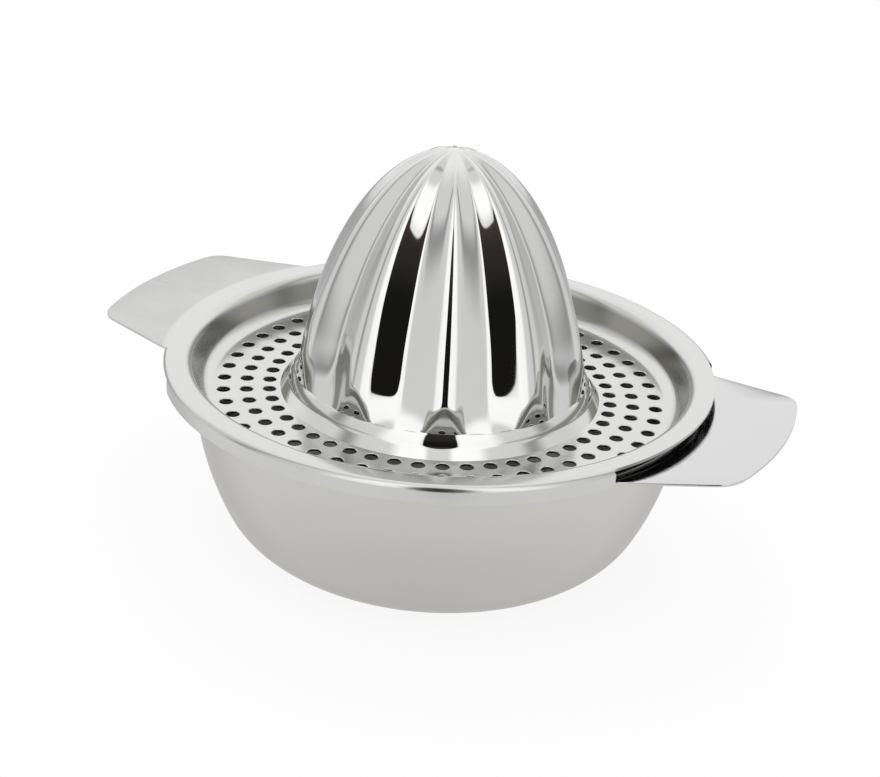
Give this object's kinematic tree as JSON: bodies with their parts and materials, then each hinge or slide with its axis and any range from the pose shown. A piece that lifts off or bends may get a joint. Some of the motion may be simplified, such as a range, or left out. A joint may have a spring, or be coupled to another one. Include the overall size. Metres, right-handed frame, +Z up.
{
  "type": "hand citrus juicer",
  "caption": "Hand citrus juicer in pressed stainless steel: a fluted reamer on a perforated strainer pan that lifts off a round juice bowl; both have a flat tab handle.",
  "frame": {"origin": "on the table, under the middle of the bowl's flat base", "axes": "+Z up along the axis of bowl, strainer and reamer; +X along the bowl's tab handle, with the strainer's tab handle along -X"},
  "size_m": [0.162, 0.127, 0.094],
  "materials": {
    "satin_steel": "satin stainless steel with fine turned lines round the bowl",
    "polished_steel": "polished stainless steel with faint handling marks",
    "mirror_steel": "mirror-polished stainless steel"
  },
  "bodies": {
    "bowl": {"bowl": "satin_steel"},
    "strainer": {"strainer": "polished_steel", "reamer": "mirror_steel"}
  },
  "joints": [
    {"name": "strainer_lift", "type": "slide", "parent": "bowl", "child": "strainer", "axis": [0, 0, 1], "range_m": [0, 0.08]}
  ]
}
